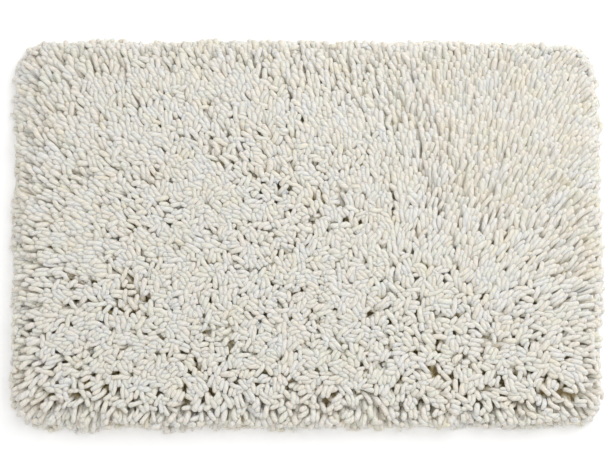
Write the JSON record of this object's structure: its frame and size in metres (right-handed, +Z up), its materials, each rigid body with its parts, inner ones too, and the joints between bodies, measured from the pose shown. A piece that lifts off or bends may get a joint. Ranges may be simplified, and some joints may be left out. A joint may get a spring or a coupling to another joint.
{
  "type": "bath mat",
  "caption": "Shaggy rectangular bath mat with round corners: thick cut-pile yarn tufted through a woven cloth, with a non-slip coat and a bound hem.",
  "frame": {"origin": "on the floor, below the middle of the mat", "axes": "+X along the length, +Y along the width, +Z up out of the pile"},
  "size_m": [0.762, 0.508, 0.03],
  "materials": {
    "pile_yarn": "matte",
    "base_cloth": "matte",
    "rubber_coat": "matte",
    "hem_tape": "matte",
    "thread": "satin",
    "label": "satin"
  },
  "bodies": {
    "root": {"base_cloth": "base_cloth", "rubber_coat": "rubber_coat", "hem_tape": "hem_tape", "hem_threads": "thread", "care_label": "label", "label_threads": "thread", "pile_rows_01": "pile_yarn", "pile_rows_02": "pile_yarn", "pile_rows_03": "pile_yarn", "pile_rows_04": "pile_yarn", "pile_rows_05": "pile_yarn", "pile_rows_06": "pile_yarn", "pile_rows_07": "pile_yarn", "pile_rows_08": "pile_yarn", "pile_rows_09": "pile_yarn", "pile_rows_10": "pile_yarn", "pile_rows_11": "pile_yarn", "pile_rows_12": "pile_yarn", "pile_rows_13": "pile_yarn", "pile_rows_14": "pile_yarn", "pile_rows_15": "pile_yarn", "pile_rows_16": "pile_yarn"}
  },
  "joints": []
}
